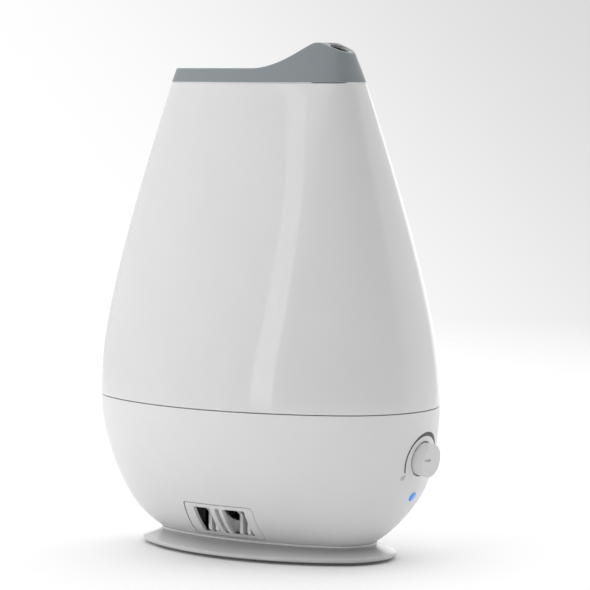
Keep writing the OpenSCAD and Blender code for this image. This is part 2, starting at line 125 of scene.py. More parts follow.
def curve(p, n):
    return [bezier(p, i / n) for i in range(n + 1)]


def circle(r, count, cx=0, cy=0):
    return [(cx + r * math.cos(2 * math.pi * i / count), cy + r * math.sin(2 * math.pi * i / count))
            for i in range(count)]


def half_at(p, z):
    """Half length of a side profile at a height, found by halving the curve."""
    lo, hi = 0.0, 1.0
    for _ in range(30):
        mid = (lo + hi) / 2
        if bezier(p, mid).y < z:
            lo = mid
        else:
            hi = mid
    return bezier(p, lo).x


def smooth_step(t):
    t = min(1, max(0, t))
    return t * t * (3 - 2 * t)


# The base leans forward by LEAN at LEAN_Z, and not at all at its neck and above LEAN_END
LEAN = 1.6
LEAN_Z = 42
LEAN_END = BASE_TOP - 6
LEAN_GROWTH = 0.003


def forward(z):
    """How far the base's section at a height sits in front of the middle."""
    rise = smooth_step((z - NECK_Z) / (LEAN_Z - NECK_Z)) ** 2
    fall = smooth_step((LEAN_END - z) / (LEAN_END - LEAN_Z))
    return LEAN * min(rise, fall)


def front_at(z):
    """Y of the base's front wall at a height."""
    return -half_at(BASE_CURVE, z) * (1 + forward(z) * LEAN_GROWTH) - forward(z)


def lean(obj):
    """Leans the lower base slightly forward and fills it out a little."""
    for v in obj.data.vertices:
        shift = forward(v.co.z / MM)
        v.co.x *= 1 + shift * LEAN_GROWTH
        v.co.y = v.co.y * (1 + shift * LEAN_GROWTH) - shift * MM
    return obj


AROUND = 192
BLEND_ANGLE = math.radians(22)
BLEND_STEPS = 400
OVALS = {}


def quarter_oval(half, slack, count):
    """A quarter of an outline, from its side to its end: a long arc that turns smoothly into a rounder one.

    The radius runs from the side's to the end's over BLEND_ANGLE, so reflections have no kink.
    """
    nose = NOSE_R + NOSE_GROWTH * (half - NOSE_HALF)
    end_y = half - nose
    side_x = slack * (2 * end_y - slack) / (2 * (end_y - slack))
    side_r = nose + math.hypot(end_y, side_x)
    turn = math.atan2(end_y, side_x)
    x, y, length = 0.0, 0.0, 0.0
    path = [(0.0, 0.0, 0.0)]
    for i in range(BLEND_STEPS):
        a = (i + 0.5) / BLEND_STEPS * math.pi / 2
        share = smooth_step((a - turn) / BLEND_ANGLE + 0.5)
        r = side_r + (nose - side_r) * share
        d = r * math.pi / 2 / BLEND_STEPS
        x -= d * math.sin(a)
        y += d * math.cos(a)
        length += d
        path.append((x, y, length))
    # Points at equal lengths along that path, fitted to the half width and half length
    width = half - slack
    quarter = []
    k = 0
    for i in range(count + 1):
        s = length * i / count
        while k < BLEND_STEPS - 1 and path[k + 1][2] < s:
            k += 1
        a, b = path[k], path[k + 1]
        t = (s - a[2]) / (b[2] - a[2])
        px, py = a[0] + (b[0] - a[0]) * t, a[1] + (b[1] - a[1]) * t
        quarter.append((width * (1 - px / x), half * py / y))
    quarter[0], quarter[-1] = (width, 0.0), (0.0, half)
    return quarter


def oval(half, slack=SLACK, count=AROUND):
    """Outline of the body at a half length, from its quarter."""
    key = (round(half, 5), round(slack, 5), count)
    if key in OVALS:
        return OVALS[key]
    quarter = quarter_oval(half, slack, count // 4)
    right_rear = quarter[:-1]
    left_rear = [(-qx, qy) for qx, qy in reversed(quarter[1:])]
    left_front = [(-qx, -qy) for qx, qy in right_rear]
    right_front = [(-qx, -qy) for qx, qy in left_rear]
    OVALS[key] = right_rear + left_rear + left_front + right_front
    return OVALS[key]


def ring(half, z, slack=SLACK):
    return [(x, y, z) for x, y in oval(half, slack)]


def rounded(points, radius, steps=4):
    """A closed outline with its corners rounded; radius is one number, or one for each corner."""
    out = []
    for i, p in enumerate(points):
        r = radius[i] if isinstance(radius, (list, tuple)) else radius
        p = Vector(p)
        a = Vector(points[i - 1]) - p
        b = Vector(points[(i + 1) % len(points)]) - p
        corner = a.angle(b) / 2
        cut = min(r / math.tan(corner), a.length * 0.49, b.length * 0.49) if r else 0
        if cut < 1e-6:
            out.append(tuple(p))
            continue
        start, end = p + a.normalized() * cut, p + b.normalized() * cut
        out += [tuple(bezier([start, p, end], k / steps)) for k in range(steps + 1)]
    return out


# ---- Meshes ----


def make(name, verts, faces, sharp=35):
    """A mesh object from points in millimetres, smooth but for edges sharper than an angle."""
    mesh = bpy.data.meshes.new(name)
    mesh.from_pydata([Vector(v) * MM for v in verts], [], faces)
    obj = bpy.data.objects.new(name, mesh)
    bpy.context.scene.collection.objects.link(obj)
    clean(obj, sharp)
    return obj


def clean(obj, sharp=35, merge=0.00001):
    """Merges points closer than merge, in metres, turns the faces outwards and sets the shading."""
    bm = bmesh.new()
    bm.from_mesh(obj.data)
    bmesh.ops.remove_doubles(bm, verts=bm.verts, dist=merge)
    bmesh.ops.dissolve_degenerate(bm, edges=bm.edges, dist=merge)
    bmesh.ops.recalc_face_normals(bm, faces=bm.faces)
    bm.to_mesh(obj.data)
    bm.free()
    obj.data.shade_smooth()
    obj.data.set_sharp_from_angle(angle=math.radians(sharp))
    return obj


def bake(obj):
    """Applies the modifiers."""
    graph = bpy.context.evaluated_depsgraph_get()
    mesh = bpy.data.meshes.new_from_object(obj.evaluated_get(graph))
    obj.modifiers.clear()
    obj.data = mesh
    return obj


def combine(obj, other, operation="DIFFERENCE", sharp=35):
    """Cuts other out of obj, or joins or intersects them, and removes other."""
    modifier = obj.modifiers.new("combine", "BOOLEAN")
    modifier.operation = operation
    modifier.solver = "EXACT"
    modifier.object = other
    bake(obj)
    bpy.data.objects.remove(other)
    return clean(obj, sharp)


def loft(name, rings, closed=False, sharp=35):
    """Solid through rings of equal length: capped at both ends, or joined last to first when closed."""
    n = len(rings[0])
    verts = [p for r in rings for p in r]
    faces = []
    for k in range(len(rings) if closed else len(rings) - 1):
        a, b = k * n, (k + 1) % len(rings) * n
        faces += [(a + i, a + (i + 1) % n, b + (i + 1) % n, b + i) for i in range(n)]
    if not closed:
        faces.append(tuple(range(n)))
        faces.append(tuple((len(rings) - 1) * n + i for i in range(n)))
    return make(name, verts, faces, sharp)


def lathe(name, outline, count=96, sharp=35):
    """Solid of revolution round Z from a closed outline of (radius, height)."""
    rings = [[(r * math.cos(2 * math.pi * i / count), r * math.sin(2 * math.pi * i / count), z)
              for i in range(count)] for r, z in outline]
    return loft(name, rings, closed=True, sharp=sharp)


def prism(name, outline, start, end, sharp=35):
    """Outline in XY, pushed along Z from start to end."""
    return loft(name, [[(x, y, z) for x, y in outline] for z in (start, end)], sharp=sharp)


def place(obj, matrix):
    """Moves the points of obj; the matrix is in millimetres."""
    moved = matrix.copy()
    moved.translation *= MM
    obj.data.transform(moved)
    if matrix.determinant() < 0:
        obj.data.flip_normals()
    return obj


def at(x, y, z, *turns):
    """A place, and turns such as ("X", 90) applied from last to first."""
    m = Matrix.Translation((x, y, z))
    for axis, angle in turns:
        m = m @ Matrix.Rotation(math.radians(angle), 4, axis)
    return m


def bevel(obj, width, segments=2, angle=40):
    """Rounds the edges sharper than an angle."""
    modifier = obj.modifiers.new("round", "BEVEL")
    modifier.width = width * MM
    modifier.segments = segments
    modifier.limit_method = "ANGLE"
    modifier.angle_limit = math.radians(angle)
    modifier.use_clamp_overlap = True
    return clean(bake(obj), 50)


def tree_of(obj):
    mesh = obj.data
    return BVHTree.FromPolygons([v.co / MM for v in mesh.vertices], [p.vertices for p in mesh.polygons])


# ---- Places on the wall ----

LENS_LEAN = math.degrees(math.atan2(half_at(BASE_CURVE, LENS_Z + 1) - half_at(BASE_CURVE, LENS_Z - 1), 2))
AT_KNOB = at(0, front_at(KNOB_Z), KNOB_Z, ("X", 90 + math.degrees(KNOB_TILT)))
AT_LENS = at(0, front_at(LENS_Z), LENS_Z, ("X", 90 + LENS_LEAN))
AT_GLAND = at(0, 0, GLAND_Z, ("X", -90))
AT_TUBE = at(0, MIST_Y, 0)
AT_OUTLET = Matrix.Translation(OUTLET) @ Matrix.Rotation(OUTLET_TILT, 4, "X")


# ---- Materials ----


class Surface:
    """A Principled material with a few helpers for its nodes."""

    def __init__(self, name, colour, roughness, **sockets):
        self.material = bpy.data.materials.new(name)
        self.material.use_nodes = True
        self.tree = self.material.node_tree
        self.shader = self.tree.nodes["Principled BSDF"]
        self.shader.inputs["Base Color"].default_value = (*colour, 1)
        self.shader.inputs["Roughness"].default_value = roughness
        for key, value in sockets.items():
            self.shader.inputs[key.replace("_", " ")].default_value = value
        self.colour, self.roughness = colour, roughness
        self.place = self.node("ShaderNodeTexCoord").outputs["Object"]
        self.height = None

    def node(self, kind, **settings):
        made = self.tree.nodes.new(kind)
        for key, value in settings.items():
            setattr(made, key, value)
        return made

    def link(self, a, b):
        self.tree.links.new(a, b)

    def noise(self, scale, detail=3, roughness=0.5, stretch=(1, 1, 1)):
        """Noise over the object, scale in cells per metre."""
        mapping = self.node("ShaderNodeMapping")
        mapping.inputs["Scale"].default_value = stretch
        self.link(self.place, mapping.inputs["Vector"])
        made = self.node("ShaderNodeTexNoise")
        made.inputs["Scale"].default_value = scale
        made.inputs["Detail"].default_value = detail
        made.inputs["Roughness"].default_value = roughness
        self.link(mapping.outputs["Vector"], made.inputs["Vector"])
        return made.outputs["Fac"]

    def spread(self, value, low_value, high_value, start=0.3, end=0.7):
        """Maps a noise value to a range."""
        made = self.node("ShaderNodeMapRange")
        limits = {"From Min": start, "From Max": end, "To Min": low_value, "To Max": high_value}
        for key, number in limits.items():
            made.inputs[key].default_value = number
        self.link(value, made.inputs["Value"])
        return made.outputs["Result"]

    def tint(self, value, other, share=1.0):
        """Colours the surface between its colour and another one by a value from 0 to 1."""
        mix = self.node("ShaderNodeMix", data_type="RGBA")
        mix.inputs[6].default_value = (*self.colour, 1)
        mix.inputs[7].default_value = (*[a + (b - a) * share for a, b in zip(self.colour, other)], 1)
        self.link(value, mix.inputs[0])
        self.link(mix.outputs[2], self.shader.inputs["Base Color"])
        return self

    def wear(self, value, change):
        """Varies the roughness by a value, up and down by change."""
        out = self.spread(value, max(0.02, self.roughness - change), min(1, self.roughness + change))
        self.link(out, self.shader.inputs["Roughness"])
        return self

    def handled(self, change):
        """Faint handling marks in the gloss."""
        return self.wear(self.noise(60, 5, 0.6), change)

    def wavy(self):
        """Slow waviness, as of a moulded wall."""
        return self.bump(self.noise(9, 1), 0.05, 0.25)

    def bump(self, value, depth, strength=1.0):
        """Adds a bump, depth in millimetres."""
        made = self.node("ShaderNodeBump")
        made.inputs["Strength"].default_value = strength
        made.inputs["Distance"].default_value = depth * MM
        self.link(value, made.inputs["Height"])
        if self.height is not None:
            self.link(self.height, made.inputs["Normal"])
        self.height = made.outputs["Normal"]
        self.link(self.height, self.shader.inputs["Normal"])
        return self


def moulded(name, colour, roughness, grain=0.004, size=0.35, **sockets):
    """Injection-moulded plastic: grain of a depth and a size in mm, waviness, marks and tone changes."""
    s = Surface(name, colour, roughness, **sockets)
    s.tint(s.spread(s.noise(22, 4), 0, 1), [c * 0.975 for c in colour])
    s.handled(roughness * 0.14)
    s.wavy()
    s.bump(s.noise(1000 / size, 2), grain)
    return s.material


def rubbery(name, colour):
    """Dull rubber with dust in its grain."""
    s = Surface(name, colour, 0.72)
    s.tint(s.spread(s.noise(300, 5), 0, 1), [c * 1.7 for c in colour])
    s.wear(s.noise(500, 3), 0.12)
    s.bump(s.noise(1800, 3), 0.03)
    return s.material


def metal(name, colour, roughness, stretch=(1, 1, 1)):
    """Machined metal with fine tool marks along one direction."""
    s = Surface(name, colour, roughness, Metallic=1.0)
    marks = s.noise(900, 4, 0.6, stretch)
    s.tint(s.spread(marks, 0, 1), [c * 0.8 for c in colour])
    s.wear(marks, roughness * 0.3)
    s.bump(marks, 0.01)
    return s.material


def circuit_board(name):
    """Green solder mask over copper tracks, with the tracks standing slightly proud."""
    s = Surface(name, (0.03, 0.16, 0.07), 0.35)
    bricks = s.node("ShaderNodeTexBrick", offset=0.5)
    bricks.inputs["Scale"].default_value = 260
    bricks.inputs["Mortar Size"].default_value = 0.06
    bricks.inputs["Brick Width"].default_value = 0.9
    s.link(s.place, bricks.inputs["Vector"])
    s.tint(bricks.outputs["Fac"], (0.10, 0.36, 0.12))
    s.wear(s.noise(400, 3), 0.08)
    s.bump(bricks.outputs["Fac"], 0.04)
    return s.material


def windings(name):
    """Enamelled wire in tight turns."""
    s = Surface(name, (0.55, 0.30, 0.06), 0.3)
    wave = s.node("ShaderNodeTexWave", wave_type="BANDS", bands_direction="Z")
    wave.inputs["Scale"].default_value = 600
    wave.inputs["Distortion"].default_value = 0.4
    s.link(s.place, wave.inputs["Vector"])
    s.tint(wave.outputs["Fac"], (0.32, 0.14, 0.03))
    s.wear(s.noise(500, 2), 0.1)
    s.bump(wave.outputs["Fac"], 0.15)
    return s.material


def tinted_lens(name, colour, glow, **sockets):
    """Moulded lens: clear skin over a body with faint flow marks."""
    s = Surface(name, colour, 0.16, **sockets)
    s.tint(s.spread(s.noise(500, 3), 0, 1), [c * 0.7 for c in colour])
    s.wear(s.noise(900, 2), 0.05)
    s.bump(s.noise(700, 2), 0.01)
    if glow:
        s.shader.inputs["Emission Color"].default_value = (*colour, 1)
        s.shader.inputs["Emission Strength"].default_value = glow
    return s.material


def printed(name, colour):
    """Pad-printed ink, a little uneven."""
    s = Surface(name, colour, 0.5)
    s.tint(s.spread(s.noise(1500, 4), 0, 1), [min(1, c * 1.35) for c in colour])
    s.wear(s.noise(900, 3), 0.1)
    s.bump(s.noise(3000, 2), 0.005)
    return s.material


def shaded_bore(name, colour, centre, axis, start, end):
    """White plastic with painted shade that darkens it to near black down a bore, between two depths along
    its axis.
    """
    s = Surface(name, colour, 0.25)
    away = s.node("ShaderNodeVectorMath", operation="SUBTRACT")
    away.inputs[1].default_value = centre * MM
    s.link(s.place, away.inputs[0])
    depth = s.node("ShaderNodeVectorMath", operation="DOT_PRODUCT")
    depth.inputs[1].default_value = axis
    s.link(away.outputs["Vector"], depth.inputs[0])
    # Painted shade: near black deeper down the bore
    s.tint(s.spread(depth.outputs["Value"], 1, 0, end * MM, start * MM), (0.03, 0.03, 0.028))
    s.handled(0.04)
    s.bump(s.noise(2000, 2), 0.001)
    return s.material


# Heights between which painted shade darkens the foot
SHADE_LOW = 4.4
SHADE_HIGH = 7.8


def foot_plastic_with_painted_shade(name, colour, shade):
    """White plastic with painted shade, darker up into the hollow under the base, where the base overhangs
    it.
    """
    s = Surface(name, colour, 0.12)
    height = s.node("ShaderNodeSeparateXYZ")
    s.link(s.place, height.inputs[0])
    # Painted shade: darker from SHADE_LOW up to SHADE_HIGH, towards the neck
    s.tint(s.spread(height.outputs["Z"], 0, 1, SHADE_LOW * MM, SHADE_HIGH * MM), shade)
    s.handled(0.02)
    s.wavy()
    s.bump(s.noise(3000, 2), 0.001)
    return s.material


MATERIALS = {
    "shell": moulded("gloss_white", (0.81, 0.81, 0.81), 0.035, 0.0002, 0.5),
    "base_white": moulded("satin_white", (0.84, 0.84, 0.84), 0.33, 0.004, 0.4),
    "lid_grey": moulded("slate_satin", (0.262, 0.296, 0.312), 0.44, 0.004, 0.4),
    # The outlet's lining is painted with shade down its bore
    "nozzle_white": shaded_bore("nozzle_white", (0.84, 0.84, 0.84), OUTLET,
                                AT_OUTLET.to_3x3() @ UP, -1.5, -2.1),
    # The foot is painted with shade towards its neck
    "foot_white": foot_plastic_with_painted_shade("foot_white", (0.66, 0.66, 0.66), (0.40, 0.40, 0.405)),
    "knob_grey": moulded("pale_grey_satin", (0.74, 0.74, 0.745), 0.36, 0.003, 0.4),
    "inner_plastic": moulded("inner_white", (0.62, 0.63, 0.64), 0.48, 0.006, 0.5),
    "dark_plastic": moulded("dark_plastic", (0.035, 0.036, 0.040), 0.42, 0.008, 0.4),
    "rubber": rubbery("rubber", (0.030, 0.030, 0.032)),
    "steel": metal("steel", (0.60, 0.60, 0.61), 0.28, (1, 1, 6)),
    "aluminium": metal("aluminium", (0.72, 0.73, 0.74), 0.38, (8, 1, 1)),
    "brass": metal("piezo_brass", (0.76, 0.62, 0.32), 0.30, (5, 5, 1)),
    "pcb": circuit_board("circuit_board"),
    "lens_blue": tinted_lens("blue_lens", (0.07, 0.31, 0.85), 0.34, Coat_Weight=0.3),
    "glass": tinted_lens("clear_lamp", (0.78, 0.84, 0.82), 0, Transmission_Weight=0.6, IOR=1.5),
    "winding": windings("enamelled_wire"),
    "ink": printed("grey_ink", (0.070, 0.073, 0.078)),
    "ink_pale": printed("pale_ink", (0.47, 0.47, 0.48)),
}
BODY_OF = {n: b for b, nodes in frame["record"]["behaviour"]["bodies"].items() for n in nodes}
SLOT_OF = {part["node"]: part["material_slot"] for part in frame["record"]["subparts"]}


def dress(obj, material):
    obj.data.materials.clear()
    obj.data.materials.append(MATERIALS[material])
    return obj


def stand_for(obj, *nodes):
    """obj takes the place, the body and the material slot of CAD nodes."""
    dress(obj, SLOT_OF[nodes[0]])
    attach(obj, BODY_OF[nodes[0]])
    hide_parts(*nodes)
    return obj


# ---- Body shells ----


def shell_rings(profile, top_edge, low_edge):
    """Rings of an open shell: up the outside, over its top and down the inside, with rounded edges."""
    inner = [(h - WALL, z) for h, z in reversed(profile)]
    outline = [tuple(p) for p in profile] + inner
    corner = [0] * len(outline)
    corner[0] = corner[-1] = low_edge
    corner[len(profile) - 1] = corner[len(profile)] = top_edge
    return [ring(h, z) for h, z in rounded(outline, corner, 4)]


def base_skin(name):
    """The base's wall, leaning."""
    return lean(loft(name, shell_rings(curve(BASE_CURVE, 40), 0.5, 0.3), closed=True))


# Outline of the intake panel seen from the side, as (Y, Z), its slots, and the ribs behind them
PANEL = [(-23.8, 33.2), (24.8, 33.2), (29.6, 11.5), (-20.8, 11.5)]
PANEL_GAP = 0.35
PANEL_GAP_REAR = 0.8
SLOT_LOW = 14.2
SLOT_HIGH = 30.9
SLOT_LEAN = 2.4
SLOTS = [(-18, -2.6), (0, 3), (6.3, 19)]
RIBS = (-11.7, -6.2, 11.5, 16.5)
RIB_HALF = 1.1
SIDEWAYS = Matrix(((0, 0, 1, 0), (1, 0, 0, 0), (0, 1, 0, 0), (0, 0, 0, 1)))


def side_prism(name, outline, start, end):
    """Outline in (Y, Z), pushed along X."""
    return place(prism(name, outline, start, end), SIDEWAYS)


def grown(outline, gap):
    """A convex outline moved outwards by gap."""
    points = [Vector(p) for p in outline]
    middle = sum(points, Vector((0, 0))) / len(points)
    out = []
    for i, p in enumerate(points):
        before = (p - points[i - 1]).normalized()
        after = (points[(i + 1) % len(points)] - p).normalized()
        normals = [Vector((d.y, -d.x)) for d in (before, after)]
        normals = [n if n.dot(p - middle) > 0 else -n for n in normals]
        across = (normals[0] + normals[1]).normalized()
        out.append(tuple(p + across * gap / max(0.2, across.dot(normals[0]))))
    return out


def base_shell():
    """The base's wall with the knob's well and the holes for the lens, the gland and the panel."""
    obj = base_skin("base_shell_skin")
    cup_r = KNOB_R + 2.5
    cup_end = WELL_FLOOR - 2
    cup = [(0, cup_end), (cup_r, cup_end), (cup_r, -2.4), (0, -2.4)]
    combine(obj, place(lathe("cup", rounded(cup, [0, 0.5, 0, 0])), AT_KNOB), "UNION")
    combine(obj, place(prism("well", circle(KNOB_R + KNOB_GAP, 96), WELL_FLOOR, 12), AT_KNOB))
    combine(obj, place(prism("bush_hole", circle(BUSH_R, 48), -9, -3), AT_KNOB))
    combine(obj, place(prism("lens_hole", circle(LENS_R + 0.1, 64), -8, 4), AT_LENS))
    combine(obj, place(prism("gland_hole", circle(GLAND_R + 0.1, 64), 95, 115), AT_GLAND))
    hole = [(y + (PANEL_GAP_REAR if y > 0 else 0), z) for y, z in grown(PANEL, PANEL_GAP)]
    combine(obj, side_prism("panel_hole", rounded(hole, 2.1), -80, -20))
    return stand_for(obj, "base_shell")


def tank_shell():
    """The tank's wall and roof, with a hole for the mist tube."""
    profile = [tuple(p) for p in curve(TANK_CURVE, 56)]
    inner = [(h - WALL, z) for h, z in profile if z < CROWN_Z - WALL]
    ceiling = half_at(TANK_CURVE, CROWN_Z - WALL) - WALL
    roof = [(CROWN_HALF - 4, CROWN_Z), (ceiling - 4, CROWN_Z - WALL), (ceiling, CROWN_Z - WALL)]
    outline = profile + roof + inner[::-1]
    corner = [0] * len(outline)
    corner[0] = corner[-1] = 0.5
    corner[len(profile) - 1] = 0.9
    corner[len(profile) + 2] = 1.5
    points = rounded(outline, corner, 4)
    rings = [ring(h, z) for h, z in points]
    # Shrunk rings close the roof, outside and inside
    edge = points.index(roof[0])
    top = [[(x * s, y * s, CROWN_Z) for x, y, _ in rings[edge]] for s in (0.8, 0.5, 0.2, 0)]
    under = [[(x * s, y * s, CROWN_Z - WALL) for x, y, _ in rings[edge + 1]] for s in (0, 0.2, 0.5, 0.8)]
    obj = loft("tank_shell_skin", rings[:edge + 1] + top + under + rings[edge + 1:], closed=True)
    combine(obj, prism("tube_hole", circle(high("mist_tube").x, 96, 0, MIST_Y), CROWN_Z - 6, CROWN_Z + 4))
    return stand_for(obj, "tank_shell")


# Slack of the foot's rings by their half length, which makes the rim rounder than the neck
FOOT_SLACKS = [(NECK_HALF + 2.2, SLACK), (NECK_HALF + 3.6, 42.3), (NECK_HALF + 6.7, 40), (RIM_HALF, 39)]
FOOT_PLATE = 3.2
BOSS_R = 6.5
PAD_STUB_R = 3
POST_TOP = 24
# Bead that hugs the bottom of the base
BEAD_HALF = NECK_HALF + 1.5
BEAD_Z = 9.45
BEAD_R = 0.65
# Places in XY of the rubber feet, the screws into the deck's legs, and the driver board's posts
PADS = [(-16, -60), (-16, 60), (16, -60), (16, 60)]
LEGS = [(-20, -24), (20, -24), (-17, 38), (17, 38)]
BOARD_HOLES = [(-8, 12), (8, 12), (-8, 54), (8, 54)]


def foot_slack(half):
    """Slack of the foot's ring at a half length."""
    if half <= FOOT_SLACKS[0][0]:
        return FOOT_SLACKS[0][1]
    for (h0, s0), (h1, s1) in zip(FOOT_SLACKS, FOOT_SLACKS[1:]):
        if half <= h1:
            return s0 + (s1 - s0) * (half - h0) / (h1 - h0)
    return FOOT_SLACKS[-1][1]


def foot_skin():
    """Flared foot with a rounded rim and a bead, closed above by a plate."""
    rim = RIM_HALF
    outline = curve([(rim - 0.8, PAD_H), (rim, PAD_H), (rim, PAD_H + 0.8)], 4)
    outline += curve([(rim, PAD_H + 1.2), (rim - 0.1, PAD_H + 2.1), (rim - 1.2, PAD_H + 2.5)], 4)
    outline += curve([(rim - 3.4, PAD_H + 3.1), (NECK_HALF + 6.5, 6.4), (NECK_HALF + 2.6, 7.9)], 10)
    for degrees in range(-50, 91, 14):
        a = math.radians(degrees)
        outline.append((BEAD_HALF + BEAD_R * math.cos(a), BEAD_Z + BEAD_R * math.sin(a)))
    outline.append((NECK_HALF + 0.3, NECK_Z))
    outline = [tuple(p) for p in outline]
    edge = len(outline)
    plate_under = NECK_Z - FOOT_PLATE
    outline += [(NECK_HALF - 4, NECK_Z), (NECK_HALF - 4, plate_under), (NECK_HALF + 1, 5.6),
                (NECK_HALF + 4.7, 4.7), (rim - 4.6, 3.5), (rim - 3.2, PAD_H)]
    rings = [ring(h, z, foot_slack(h)) for h, z in outline]
    # Shrunk rings close the plate, above and below
    top = [[(x * s, y * s, NECK_Z) for x, y, _ in rings[edge]] for s in (0.7, 0.35, 0)]
    under = [[(x * s, y * s, plate_under) for x, y, _ in rings[edge + 1]] for s in (0, 0.35, 0.7)]
    return loft("foot_skin", rings[:edge + 1] + top + under + rings[edge + 1:], closed=True)


def foot():
    """The foot with bosses for its pads, screw holes and posts for the driver board."""
    obj = foot_skin()
    for x, y in PADS:
        boss = lathe("boss", rounded([(0, PAD_H), (BOSS_R, PAD_H), (BOSS_R, 7), (0, 7)], [0, 0.4, 0, 0]), 48)
        combine(obj, place(boss, at(x, y, 0)), "UNION")
        combine(obj, prism("pad_hole", circle(PAD_STUB_R, 32, x, y), PAD_H - 1, PAD_H + 2))
    for x, y in LEGS:
        combine(obj, prism("screw_hole", circle(1.7, 24, x, y), 4, 12))
    for x, y in BOARD_HOLES:
        outline = [(1.2, NECK_Z - 1), (3, NECK_Z - 1), (3, POST_TOP), (1.2, POST_TOP)]
        post = lathe("post", rounded(outline, [0, 0, 0.4, 0]), 32)
        combine(obj, place(post, at(x, y, 0)), "UNION")
    stand_for(obj, "foot")
    dress(obj, "foot_white")
    # The bead is bare white, without the foot's painted shade; what stands inside the base gets the dark
    # plastic as painted shade for the hollow behind the slots
    bead_slot, inside_shade_slot = 1, 2
    obj.data.materials.append(MATERIALS["base_white"])
    obj.data.materials.append(MATERIALS["dark_plastic"])
    for face in obj.data.polygons:
        z = face.center.z / MM
        on_plate = abs(z - NECK_Z) < 0.05 and face.normal.z > 0.9
        if z > BEAD_Z + 1 or on_plate:
            face.material_index = inside_shade_slot
        elif z > BEAD_Z - 0.6:
            face.material_index = bead_slot
    return obj


def intake_grille():
    """Panel in the side wall, with slanted slots and deep ribs behind them."""
    skin = base_skin("intake_grille_skin")
    combine(skin, side_prism("panel", rounded(PANEL, 1.8), -80, -20), "INTERSECT")
    for y0, y1 in SLOTS:
        slot = [(y0, SLOT_HIGH), (y1, SLOT_HIGH), (y1 + SLOT_LEAN, SLOT_LOW), (y0 + SLOT_LEAN, SLOT_LOW)]
        combine(skin, side_prism("slot", rounded(slot, 0.7), -60, -30))
    inside = loft("inside", [ring(h - 1, z) for h, z in curve(BASE_CURVE, 24)])
    ribs = None
    flared = [(-32.6, 12.4), (-36.4, 12.4), (-36.4, 26), (-40, 29), (-48, 31), (-46, 33), (-33, 31.5)]
    upright = Matrix(((1, 0, 0, 0), (0, 0, -1, 0), (0, 1, 0, 0), (0, 0, 0, 1)))
    for y in RIBS:
        rib = place(prism("rib", flared, -y - RIB_HALF, -y + RIB_HALF), upright)
        ribs = combine(ribs, rib, "UNION") if ribs else rib
    # Two bars join the ribs at their foot and their top
    for x0, x1, z in ((-36.4, -32.6, 12.4), (-48, -33.2, 30.6)):
        bar = prism("bar", [(x0, -21), (x1, -21), (x1, 21), (x0, 21)], z, z + 1.4)
        combine(ribs, bar, "UNION")
    combine(ribs, inside, "INTERSECT")
    combine(skin, ribs, "UNION")
    return stand_for(skin, "intake_grille")


# ---- Controls ----

GROOVE_DEPTH = 0.5
GROOVE_HALF = 0.7
# Ink films stand out of the wall by INK_OUT and reach into it by INK_IN
INK_OUT = 0.06
INK_IN = 0.1
# Middle of the crescent scale, its radius, its two ends in degrees and its widths there
SCALE_X = 1.4
SCALE_Z = KNOB_Z - 1.6
SCALE_R = 16.25
SCALE_START = 200
SCALE_END = 30
SCALE_THIN = 0.95
SCALE_WIDE = 2.6
SCALE_STEPS = 48
# The drop mark as (X, Z): its round end, its tip, and its widest half width at ROUND_SHARE of its length
DROP_START = (-15.8, 52.3)
DROP_TIP = (-12.9, 55.2)
DROP_R = 1.45
DROP_STEPS = 16
ROUND_SHARE = 0.3
DROP_TAPER = 0.8
DROP_THIN = 0.03


def control_knob():
    """Hollow knob with a pointer groove that is painted grey as its shade."""
    face = KNOB_OUT
    outline = [(0, KNOB_BACK), (KNOB_R, KNOB_BACK), (KNOB_R, face), (0, face)]
    obj = lathe("control_knob_skin", rounded(outline, [0, 0.3, 0.35, 0], 6), 128)
    hollow = lathe("hollow", [(4.6, -4), (KNOB_R - 1.8, -4), (KNOB_R - 1.8, face - 2), (4.6, face - 2)], 96)
    combine(obj, hollow)
    combine(obj, prism("shaft_hole", circle(3, 48), -4, 3.8))
    dash = [(-7.8, -GROOVE_HALF), (-1.2, -GROOVE_HALF), (-1.2, GROOVE_HALF), (-7.8, GROOVE_HALF)]
    cutter = prism("dash", rounded(dash, 0.69), face - GROOVE_DEPTH, face + 1)
    combine(obj, place(cutter, at(0, 0.4, 0, ("Z", -5.5))))
    stand_for(place(obj, AT_KNOB), "control_knob")
    # The groove's faces lie just below the knob's face; they get the pale ink as painted shade in the groove
    obj.data.materials.append(MATERIALS["ink_pale"])
    to_knob = AT_KNOB.inverted()
    for side in obj.data.polygons:
        point = to_knob @ (side.center / MM)
        if face - 0.6 < point.z < face - 0.1 and point.xy.length < KNOB_R - 0.5:
            side.material_index = 1
    return obj


def led_lens():
    """Lens with a flange behind the wall and a slightly domed face."""
    outline = [(0, -5), (LENS_R + 0.9, -5), (LENS_R + 0.9, -3.8), (LENS_R, -3.8), (LENS_R, -0.05)]
    for k in range(1, 9):
        a = math.pi / 2 * (1 - k / 8)
        outline.append((LENS_R * math.sin(a), 0.6 - 8 + 8 * math.cos(a * LENS_R / 8)))
    obj = lathe("led_lens_skin", outline, 64)
    return stand_for(place(obj, AT_LENS), "led_lens")


def on_wall(points, tree, out):
    """Points (X, Z) of a flat print laid on the front wall, moved out along it by out."""
    laid = []
    for x, z in points:
        hit, normal, _, _ = tree.ray_cast(Vector((x, -200, z)), Vector((0, 1, 0)))
        laid.append(tuple(hit + normal * out))
    return laid


def print_mark(name, rows, tree, ink):
    """A printed mark: rows of (X, Z) points across its length, as a film on the wall."""
    film = [on_wall(row, tree, INK_OUT) + on_wall(row[::-1], tree, -INK_IN) for row in rows]
    obj = loft(name, film)
    dress(obj, ink)
    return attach(obj, "base")


